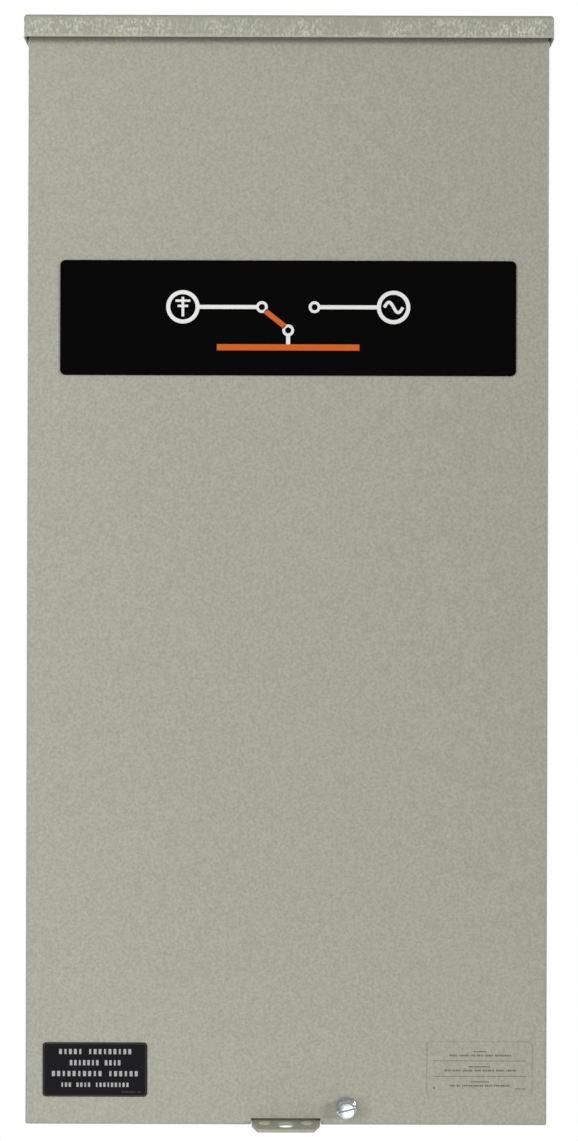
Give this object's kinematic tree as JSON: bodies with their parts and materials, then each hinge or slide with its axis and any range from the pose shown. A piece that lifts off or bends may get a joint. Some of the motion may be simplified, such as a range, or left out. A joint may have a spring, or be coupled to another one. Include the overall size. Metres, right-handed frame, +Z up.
{
  "type": "automatic transfer switch",
  "caption": "Wall-mounted transfer switch in a grey raintight sheet-metal enclosure, with drip cap, lift-off front cover, padlock hasp, service breaker and solenoid-driven contacts.",
  "frame": {"origin": "middle of the back face, on the wall plane", "axes": "+Z up, +Y into the wall, +X to the right as seen from the front; the cover faces -Y"},
  "size_m": [0.342, 0.1889, 0.716],
  "materials": {
    "enclosure_paint": "fine textured grey powder coat",
    "nameplate_black": "gloss black printed film",
    "label_clear": "clear film over the grey paint",
    "zinc": "bright zinc plate",
    "galvanised": "galvanised sheet",
    "moulding_black": "black thermoset moulding",
    "moulding_grey": "grey thermoset moulding",
    "copper": "copper bar",
    "aluminium": "tin-plated aluminium",
    "shaft_moulding": "brown phenolic",
    "coil_wrap": "amber tape on a black bobbin",
    "handle_red": "red moulded grip",
    "board_green": "green solder mask",
    "relay_blue": "blue moulded case",
    "insulator_red": "red glass-polyester",
    "wire_sleeve": "black wire insulation"
  },
  "bodies": {
    "enclosure": {"enclosure_box": "enclosure_paint", "back_plate": "enclosure_paint", "drip_cap": "enclosure_paint", "padlock_hasp": "enclosure_paint", "hasp_rivet_left": "enclosure_paint", "hasp_rivet_right": "enclosure_paint", "knockout_left": "enclosure_paint", "knockout_right": "enclosure_paint", "dead_front": "enclosure_paint", "cover_screw_nut": "zinc", "mounting_panel": "galvanised", "bearing_bracket_left": "galvanised", "bearing_bracket_right": "galvanised", "solenoid_frame_utility": "galvanised", "solenoid_frame_standby": "galvanised", "breaker_base": "moulding_black", "breaker_cover": "moulding_black", "switch_base": "moulding_black", "limit_switch_utility": "moulding_black", "limit_switch_standby": "moulding_black", "board_tray": "moulding_black", "terminal_strip": "moulding_black", "fuse_block": "moulding_black", "pole_housing_left": "moulding_grey", "pole_housing_right": "moulding_grey", "feed_strap_left": "copper", "feed_strap_right": "copper", "utility_contact_left": "copper", "utility_contact_right": "copper", "line_lug_left": "aluminium", "line_lug_right": "aluminium", "standby_terminal_left": "aluminium", "standby_terminal_right": "aluminium", "load_terminal_left": "aluminium", "load_terminal_right": "aluminium", "neutral_bar": "aluminium", "ground_bar": "aluminium", "solenoid_coil_utility": "coil_wrap", "solenoid_coil_standby": "coil_wrap", "control_board": "board_green", "load_relay": "relay_blue", "neutral_insulator_left": "insulator_red", "neutral_insulator_right": "insulator_red", "control_harness": "wire_sleeve", "coil_harness": "wire_sleeve"},
    "cover": {"front_cover": "enclosure_paint", "nameplate": "nameplate_black", "function_label": "nameplate_black", "rating_label": "label_clear"},
    "cover_screw": {"cover_screw": "zinc"},
    "breaker_toggle": {"breaker_handle": "moulding_black"},
    "transfer_rotor": {"transfer_shaft": "shaft_moulding", "moving_contact_left": "copper", "moving_contact_right": "copper", "drive_crank": "zinc", "manual_handle_lever": "zinc", "manual_handle_grip": "handle_red"},
    "armature": {"drive_yoke": "zinc", "plunger_utility": "galvanised", "plunger_standby": "galvanised"}
  },
  "joints": [
    {"name": "cover_swing", "type": "hinge", "parent": "enclosure", "child": "cover", "pos_m": [0, -0.1659, 0.343], "axis": [-1, 0, 0], "range_deg": [0, 60]},
    {"name": "cover_screw_draw", "type": "slide", "parent": "cover", "child": "cover_screw", "axis": [0, -1, 0], "range_m": [0, 0.0145]},
    {"name": "breaker_throw", "type": "hinge", "parent": "enclosure", "child": "breaker_toggle", "pos_m": [0, -0.078, 0.192], "axis": [1, 0, 0], "range_deg": [0, 36]},
    {"name": "transfer_throw", "type": "hinge", "parent": "enclosure", "child": "transfer_rotor", "pos_m": [0, -0.058, -0.015], "axis": [1, 0, 0], "range_deg": [0, 40]},
    {"name": "armature_stroke", "type": "slide", "parent": "enclosure", "child": "armature", "axis": [0, 0, -1], "range_m": [0, 0.01505]}
  ],
  "couplings": [
    {"joint": "armature_stroke", "follows": "transfer_throw", "m_per_rad": 0.02155}
  ]
}
